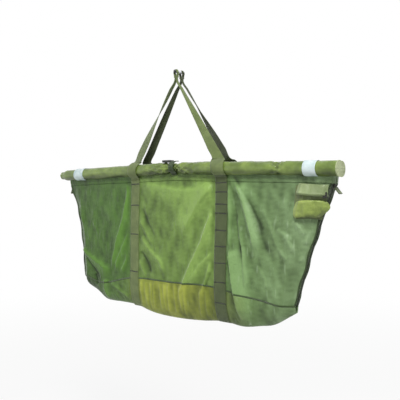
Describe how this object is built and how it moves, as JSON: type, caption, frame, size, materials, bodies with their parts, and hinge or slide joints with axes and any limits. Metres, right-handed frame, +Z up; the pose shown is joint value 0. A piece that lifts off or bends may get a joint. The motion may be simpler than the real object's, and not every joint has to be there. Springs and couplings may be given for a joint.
{
  "type": "weigh sling",
  "caption": "Mesh weighing bag closed by end zips between two foam float bars, hung by two webbing loops from a short steel weigh bar.",
  "frame": {"origin": "middle of the weigh bar's axis, where the scale's hook takes the sling", "axes": "+X along the floats, from the limp ends to the flat ends; the front with the buckle and pocket faces -Y; +Z up, towards the scale"},
  "size_m": [1.1844, 0.098, 0.833],
  "materials": {
    "bar_steel": "brushed",
    "black_plastic": "matt moulded",
    "olive_webbing": "woven nylon webbing",
    "olive_nylon": "satin coated nylon",
    "green_mesh": "fine mesh, slightly shiny",
    "base_mesh": "thin translucent mesh",
    "white_foam": "closed-cell foam",
    "reflective_tape": "reflective",
    "zip_black": "moulded",
    "slider_metal": "black lacquered zinc",
    "pocket_nylon": "thin coated nylon"
  },
  "bodies": {
    "weigh_bar": {"weigh_bar": "bar_steel", "bar_cap_front": "black_plastic", "bar_cap_rear": "black_plastic"},
    "front_handle": {"front_handle_strap": "olive_webbing"},
    "rear_handle": {"rear_handle_strap": "olive_webbing"},
    "front_side": {"front_neck": "olive_nylon", "front_hem_band": "olive_nylon", "front_panel": "green_mesh", "front_base_seam": "olive_webbing", "front_base": "base_mesh", "front_left_foam": "white_foam", "front_left_sleeve": "olive_nylon", "front_left_reflective_band": "reflective_tape", "front_left_end_cap": "olive_nylon", "front_left_strap": "olive_webbing", "front_left_zip_tape": "olive_webbing", "front_left_zip_teeth": "zip_black", "front_right_foam": "white_foam", "front_right_sleeve": "olive_nylon", "front_right_reflective_band": "reflective_tape", "front_right_end_cap": "olive_nylon", "front_right_strap": "olive_webbing", "front_right_zip_tape": "olive_webbing", "front_right_zip_teeth": "zip_black", "neck_strap": "olive_webbing", "buckle_socket": "black_plastic", "buckle_plug": "black_plastic", "stow_pocket": "pocket_nylon", "pocket_lower_fold": "pocket_nylon", "webbing_keeper": "black_plastic"},
    "rear_side": {"rear_neck": "olive_nylon", "rear_hem_band": "olive_nylon", "rear_panel": "green_mesh", "rear_base_seam": "olive_webbing", "rear_base": "base_mesh", "rear_left_foam": "white_foam", "rear_left_sleeve": "olive_nylon", "rear_left_reflective_band": "reflective_tape", "rear_left_end_cap": "olive_nylon", "rear_left_strap": "olive_webbing", "rear_left_zip_tape": "olive_webbing", "rear_left_zip_teeth": "zip_black", "rear_right_foam": "white_foam", "rear_right_sleeve": "olive_nylon", "rear_right_reflective_band": "reflective_tape", "rear_right_end_cap": "olive_nylon", "rear_right_strap": "olive_webbing", "rear_right_zip_tape": "olive_webbing", "rear_right_zip_teeth": "zip_black"},
    "left_slider": {"left_zip_slider": "slider_metal"},
    "left_tab": {"left_pull_tab": "olive_webbing"},
    "right_slider": {"right_zip_slider": "slider_metal"},
    "right_tab": {"right_pull_tab": "olive_webbing"},
    "buckle_front_arm": {"buckle_front_arm": "black_plastic"},
    "buckle_rear_arm": {"buckle_rear_arm": "black_plastic"},
    "pocket_flap": {"pocket_flap": "pocket_nylon"}
  },
  "joints": [
    {"name": "front_handle_swing", "type": "hinge", "parent": "weigh_bar", "child": "front_handle", "pos_m": [0, -0.0045, 0.0053], "axis": [-1, 0, 0], "range_deg": [0, 20]},
    {"name": "rear_handle_swing", "type": "hinge", "parent": "weigh_bar", "child": "rear_handle", "pos_m": [0, 0.0045, 0.0053], "axis": [-1, 0, 0], "range_deg": [-20, 0]},
    {"name": "front_side_turn", "type": "hinge", "parent": "front_handle", "child": "front_side", "pos_m": [0, -0.02375, -0.32698], "axis": [-1, 0, 0], "range_deg": [-33, 0]},
    {"name": "rear_side_turn", "type": "hinge", "parent": "rear_handle", "child": "rear_side", "pos_m": [0, 0.02375, -0.32698], "axis": [-1, 0, 0], "range_deg": [0, 33]},
    {"name": "left_slider_run", "type": "hinge", "parent": "front_side", "child": "left_slider", "pos_m": [-1.55494, 0, -0.75699], "axis": [0, 1, 0], "range_deg": [0, 17]},
    {"name": "right_slider_run", "type": "hinge", "parent": "front_side", "child": "right_slider", "pos_m": [3.71761, 0, -1.61842], "axis": [0, -1, 0], "range_deg": [0, 5.95]},
    {"name": "left_tab_swing", "type": "hinge", "parent": "left_slider", "child": "left_tab", "pos_m": [-0.54985, 0, -0.38457], "axis": [0, 1, 0], "range_deg": [-46, 54]},
    {"name": "right_tab_swing", "type": "hinge", "parent": "right_slider", "child": "right_tab", "pos_m": [0.56672, 0, -0.38505], "axis": [0, -1, 0], "range_deg": [-55, 45]},
    {"name": "buckle_front_arm_press", "type": "hinge", "parent": "front_side", "child": "buckle_front_arm", "pos_m": [-0.0254, -0.03085, -0.29857], "axis": [0, 0, -1], "range_deg": [0, 8], "stiffness_Nm_per_rad": 0.005},
    {"name": "buckle_rear_arm_press", "type": "hinge", "parent": "front_side", "child": "buckle_rear_arm", "pos_m": [-0.0254, -0.01665, -0.29857], "axis": [0, 0, 1], "range_deg": [0, 8], "stiffness_Nm_per_rad": 0.005},
    {"name": "pocket_flap_lift", "type": "hinge", "parent": "front_side", "child": "pocket_flap", "pos_m": [0.5, -0.03119, -0.379], "axis": [-1, 0, 0], "range_deg": [0, 110]}
  ],
  "couplings": [
    {"joint": "rear_handle_swing", "follows": "front_handle_swing", "ratio": -1},
    {"joint": "front_side_turn", "follows": "front_handle_swing", "ratio": -1.644},
    {"joint": "rear_side_turn", "follows": "front_handle_swing", "ratio": 1.644}
  ]
}
